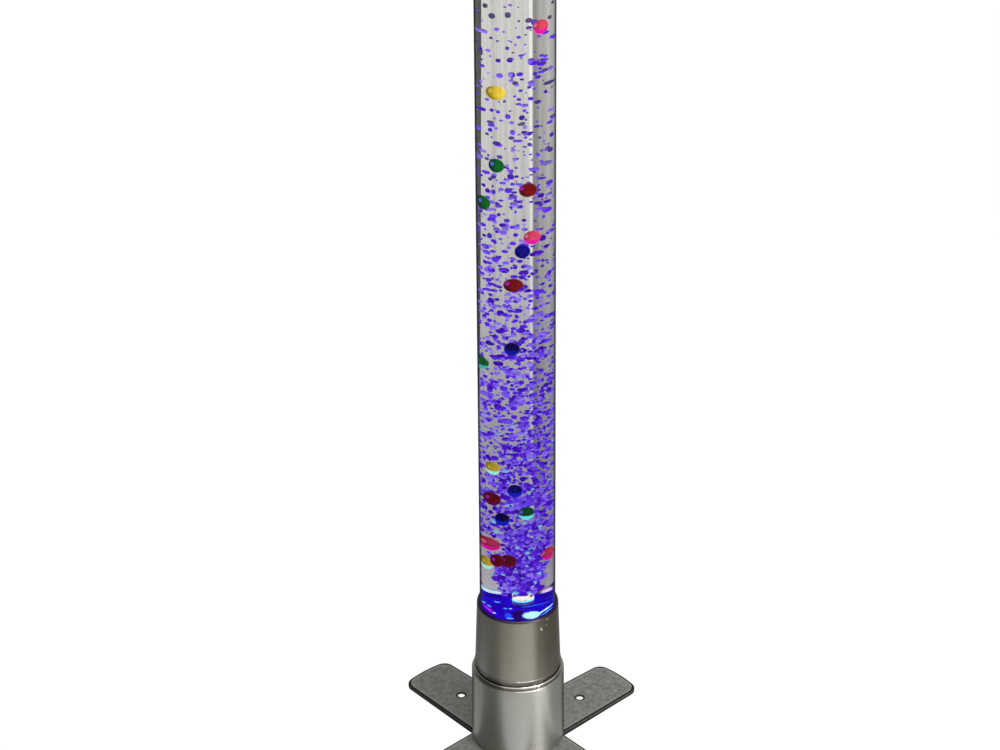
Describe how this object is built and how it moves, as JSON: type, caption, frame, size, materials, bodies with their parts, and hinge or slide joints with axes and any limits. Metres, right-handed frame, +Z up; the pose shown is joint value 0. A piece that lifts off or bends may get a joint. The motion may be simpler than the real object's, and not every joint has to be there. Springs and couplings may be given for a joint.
{
  "type": "bubble tube floor lamp",
  "caption": "Tall floor lamp: a water-filled acrylic bubble tube with drifting plastic balls on a stepped satin metal base with flat crossed feet.",
  "frame": {"origin": "on the floor, under the axis of the tube", "axes": "+Z up along the tube, the power socket and the button at the back towards +Y, the legs between the X and Y axes"},
  "size_m": [0.2494, 0.2494, 1.2],
  "materials": {
    "hammered_steel": "hammered grey enamel",
    "black_rubber": "matte",
    "bright_steel": "plated",
    "plate_steel": "zinc plated sheet",
    "satin_shell": "satin spun metal",
    "polished_ring": "polished",
    "black_plastic": "moulded",
    "clear_acrylic": "clear, polished",
    "plug_acrylic": "clear acrylic lit blue from below",
    "white_board": "solder mask",
    "blue_lamps": "lamp lenses",
    "green_board": "solder mask",
    "core_steel": "laminated",
    "copper_winding": "enamelled copper",
    "magnet_iron": "sintered",
    "white_plastic": "moulded",
    "clear_hose": "silicone",
    "red_rubber": "moulded",
    "fitting_brass": "turned",
    "pale_stone": "porous",
    "wire_sleeve": "PVC sleeve",
    "ball_pink": "gloss",
    "ball_yellow": "gloss",
    "ball_green": "gloss",
    "ball_red": "gloss",
    "ball_blue": "gloss",
    "ball_navy": "gloss"
  },
  "bodies": {
    "base": {"leg_rear_left": "hammered_steel", "leg_rear_right": "hammered_steel", "leg_front_left": "hammered_steel", "leg_front_right": "hammered_steel", "foot_pads": "black_rubber", "leg_screws": "bright_steel", "base_plate": "plate_steel", "lower_housing": "satin_shell", "shoulder_ring": "polished_ring", "upper_sleeve": "satin_shell", "clamp_posts": "bright_steel", "tube_cup": "black_plastic", "tube": "clear_acrylic", "tube_plug": "plug_acrylic", "tube_gasket": "black_rubber", "led_board": "white_board", "leds": "blue_lamps", "control_board": "green_board", "board_screws": "bright_steel", "pump_frame": "plate_steel", "pump_core": "core_steel", "pump_coil": "copper_winding", "arm_pin": "bright_steel", "pump_chamber": "white_plastic", "pump_feet": "black_rubber", "air_hoses": "clear_hose", "check_valve": "white_plastic", "air_fitting": "fitting_brass", "fitting_seal": "black_rubber", "air_stone": "pale_stone", "dc_jack": "black_plastic", "switch_body": "black_plastic", "wiring": "wire_sleeve"},
    "pump_arm": {"pump_arm": "plate_steel", "arm_magnet": "magnet_iron", "pump_diaphragm": "black_rubber"},
    "valve_disc": {"valve_disc": "red_rubber"},
    "power_button": {"power_button": "black_plastic"},
    "cap": {"top_cap": "satin_shell", "cap_ring": "black_rubber"},
    "ball_01": {"ball_01": "ball_pink"},
    "ball_02": {"ball_02": "ball_yellow"},
    "ball_03": {"ball_03": "ball_green"},
    "ball_04": {"ball_04": "ball_red"},
    "ball_05": {"ball_05": "ball_green"},
    "ball_06": {"ball_06": "ball_pink"},
    "ball_07": {"ball_07": "ball_blue"},
    "ball_08": {"ball_08": "ball_red"},
    "ball_09": {"ball_09": "ball_navy"},
    "ball_10": {"ball_10": "ball_green"},
    "ball_11": {"ball_11": "ball_yellow"},
    "ball_12": {"ball_12": "ball_blue"},
    "ball_13": {"ball_13": "ball_red"},
    "ball_14": {"ball_14": "ball_green"},
    "ball_15": {"ball_15": "ball_navy"},
    "ball_16": {"ball_16": "ball_pink"},
    "ball_17": {"ball_17": "ball_pink"},
    "ball_18": {"ball_18": "ball_yellow"},
    "ball_19": {"ball_19": "ball_red"},
    "ball_20": {"ball_20": "ball_red"}
  },
  "joints": [
    {"name": "arm_swing", "type": "hinge", "parent": "base", "child": "pump_arm", "pos_m": [0.026, -0.002, 0.0335], "axis": [0, 1, 0], "range_deg": [-3, 3], "stiffness_Nm_per_rad": 0.8, "deforming": ["pump_diaphragm"]},
    {"name": "valve_lift", "type": "slide", "parent": "base", "child": "valve_disc", "axis": [0, 0, 1], "range_m": [0, 0.0008]},
    {"name": "button_press", "type": "slide", "parent": "base", "child": "power_button", "axis": [0, -1, 0], "range_m": [0, 0.0015], "stiffness_N_per_m": 150},
    {"name": "cap_lift", "type": "slide", "parent": "base", "child": "cap", "axis": [0, 0, 1], "range_m": [0, 0.04]},
    {"name": "ball_01_drift", "type": "slide", "parent": "base", "child": "ball_01", "axis": [0, 0, 1], "range_m": [-0.108, 0.265]},
    {"name": "ball_02_drift", "type": "slide", "parent": "base", "child": "ball_02", "axis": [0, 0, 1], "range_m": [-0.099, 0.342]},
    {"name": "ball_03_drift", "type": "slide", "parent": "base", "child": "ball_03", "axis": [0, 0, 1], "range_m": [-0.095, 0.414]},
    {"name": "ball_04_drift", "type": "slide", "parent": "base", "child": "ball_04", "axis": [0, 0, 1], "range_m": [-0.018, 0.445]},
    {"name": "ball_05_drift", "type": "slide", "parent": "base", "child": "ball_05", "axis": [0, 0, 1], "range_m": [-0.145, 0.462]},
    {"name": "ball_06_drift", "type": "slide", "parent": "base", "child": "ball_06", "axis": [0, 0, 1], "range_m": [-0.154, 0.018]},
    {"name": "ball_07_drift", "type": "slide", "parent": "base", "child": "ball_07", "axis": [0, 0, 1], "range_m": [-0.049, 0.507]},
    {"name": "ball_08_drift", "type": "slide", "parent": "base", "child": "ball_08", "axis": [0, 0, 1], "range_m": [-0.156, 0.099]},
    {"name": "ball_09_drift", "type": "slide", "parent": "base", "child": "ball_09", "axis": [0, 0, 1], "range_m": [-0.076, 0.049]},
    {"name": "ball_10_drift", "type": "slide", "parent": "base", "child": "ball_10", "axis": [0, 0, 1], "range_m": [-0.072, 0.148]},
    {"name": "ball_11_drift", "type": "slide", "parent": "base", "child": "ball_11", "axis": [0, 0, 1], "range_m": [-0.021, 0.145]},
    {"name": "ball_12_drift", "type": "slide", "parent": "base", "child": "ball_12", "axis": [0, 0, 1], "range_m": [-0.007, 0.076]},
    {"name": "ball_13_drift", "type": "slide", "parent": "base", "child": "ball_13", "axis": [0, 0, 1], "range_m": [-0.031, 0.072]},
    {"name": "ball_14_drift", "type": "slide", "parent": "base", "child": "ball_14", "axis": [0, 0, 1], "range_m": [-0.117, 0.007]},
    {"name": "ball_15_drift", "type": "slide", "parent": "base", "child": "ball_15", "axis": [0, 0, 1], "range_m": [-0.019, 0.01]},
    {"name": "ball_16_drift", "type": "slide", "parent": "base", "child": "ball_16", "axis": [0, 0, 1], "range_m": [-0.06, 0.104]},
    {"name": "ball_17_drift", "type": "slide", "parent": "base", "child": "ball_17", "axis": [0, 0, 1], "range_m": [-0.058, 0.299]},
    {"name": "ball_18_drift", "type": "slide", "parent": "base", "child": "ball_18", "axis": [0, 0, 1], "range_m": [-0.045, 0.031]},
    {"name": "ball_19_drift", "type": "slide", "parent": "base", "child": "ball_19", "axis": [0, 0, 1], "range_m": [-0.057, 0.019]},
    {"name": "ball_20_drift", "type": "slide", "parent": "base", "child": "ball_20", "axis": [0, 0, 1], "range_m": [-0.052, 0.156]}
  ]
}
